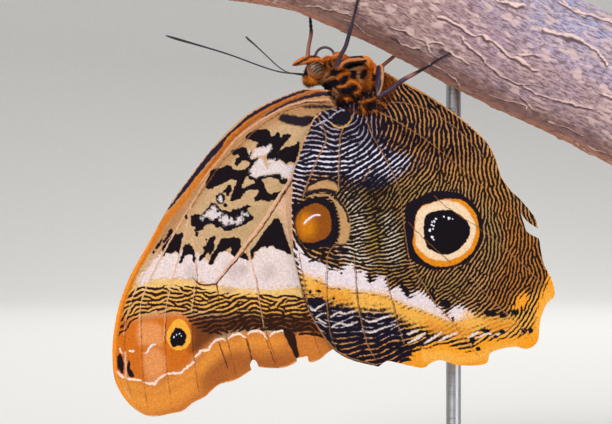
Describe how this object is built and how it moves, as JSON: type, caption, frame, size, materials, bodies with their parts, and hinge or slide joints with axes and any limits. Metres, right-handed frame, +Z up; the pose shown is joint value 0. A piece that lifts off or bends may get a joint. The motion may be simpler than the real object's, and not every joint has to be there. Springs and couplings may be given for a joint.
{
  "type": "owl butterfly",
  "caption": "Owl butterfly hanging with closed, eyespotted wings under a cut length of branch, on a plain display stand with a wooden base and a metal rod.",
  "frame": {"origin": "middle of the underside of the stand's base, which is the bottom centre of the whole part", "axes": "+Z up, +X from the head towards the tail end of the butterfly, -Y towards its right side, which the picture shows"},
  "size_m": [0.1106, 0.06, 0.1297],
  "materials": {
    "body_fur": "orange and brown-black hair",
    "eye": "striped compound eye, glossy",
    "limb": "fine scales, satin",
    "wing": "wing scales, matt with a slight sheen",
    "branch": "peeling bark",
    "stand_base": "oiled beech",
    "stand_rod": "satin"
  },
  "bodies": {
    "root": {"head": "body_fur", "thorax": "body_fur", "abdomen": "body_fur", "eye_right": "eye", "eye_left": "eye", "palp_right": "limb", "palp_left": "limb", "antenna_right": "limb", "antenna_left": "limb", "proboscis": "limb", "foreleg_right": "limb", "foreleg_left": "limb", "midleg_right": "limb", "midleg_left": "limb", "hindleg_right": "limb", "hindleg_left": "limb", "forewing_right": "wing", "forewing_left": "wing", "hindwing_right": "wing", "hindwing_left": "wing", "perch_branch": "branch", "stand_base": "stand_base", "stand_rod": "stand_rod"}
  },
  "joints": []
}
